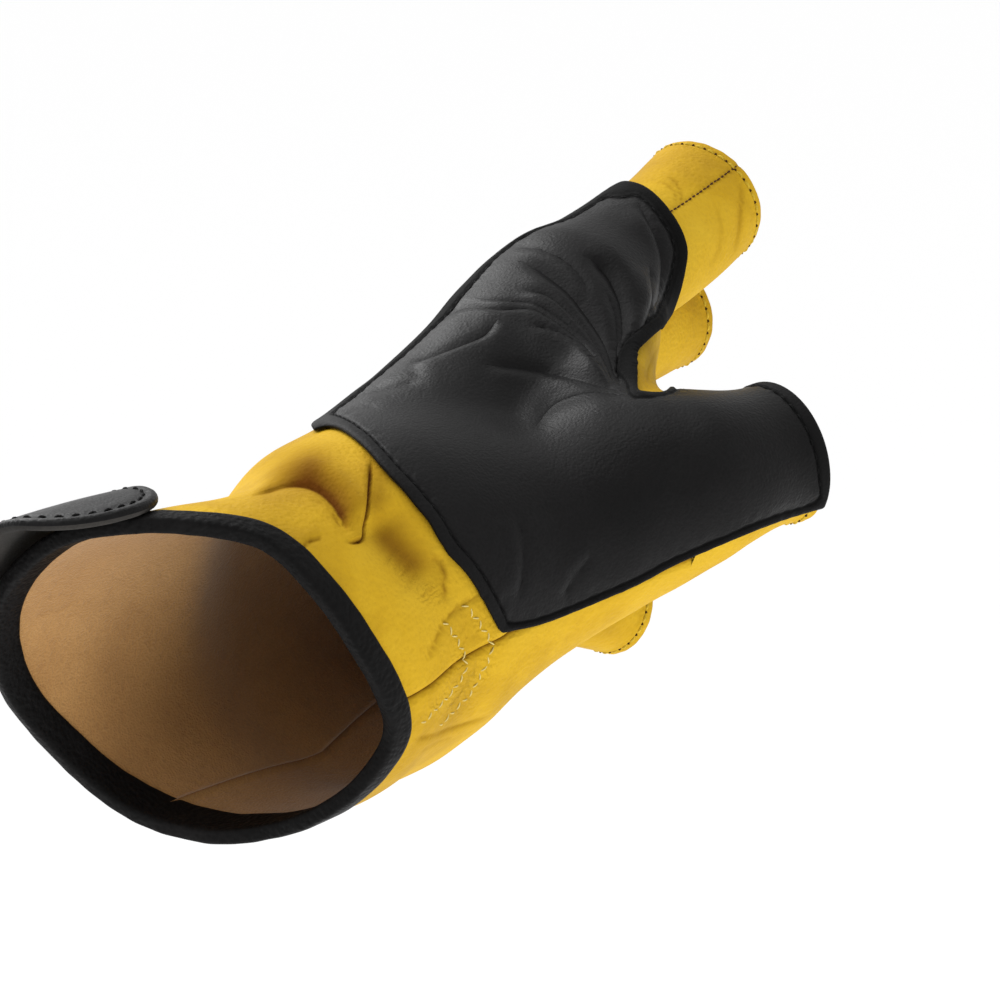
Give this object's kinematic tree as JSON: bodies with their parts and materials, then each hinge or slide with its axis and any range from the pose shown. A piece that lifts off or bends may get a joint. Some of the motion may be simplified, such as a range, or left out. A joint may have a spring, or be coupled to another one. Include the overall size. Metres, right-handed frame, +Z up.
{
  "type": "archery glove",
  "caption": "Fingerless left-hand archery bow glove in yellow leather with a black leather grip patch, bound cuff and open stalls, in its worn form.",
  "frame": {"origin": "middle of the wrist opening", "axes": "+X from the wrist to the fingers, +Z up, palm facing -Y and down, thumb side up"},
  "size_m": [0.1992, 0.098, 0.1061],
  "materials": {
    "yellow_leather": "smooth gold-yellow leather with a soft sheen",
    "black_leather": "smooth black leather with a low sheen",
    "black_binding": "matt black strip"
  },
  "bodies": {
    "root": {"back_panel": "yellow_leather", "palm_panel": "yellow_leather", "index_stall": "yellow_leather", "middle_stall": "yellow_leather", "ring_stall": "yellow_leather", "little_stall": "yellow_leather", "thumb_stall": "yellow_leather", "grip_patch": "black_leather", "wrist_binding": "black_binding", "closure_tab": "black_binding"}
  },
  "joints": []
}
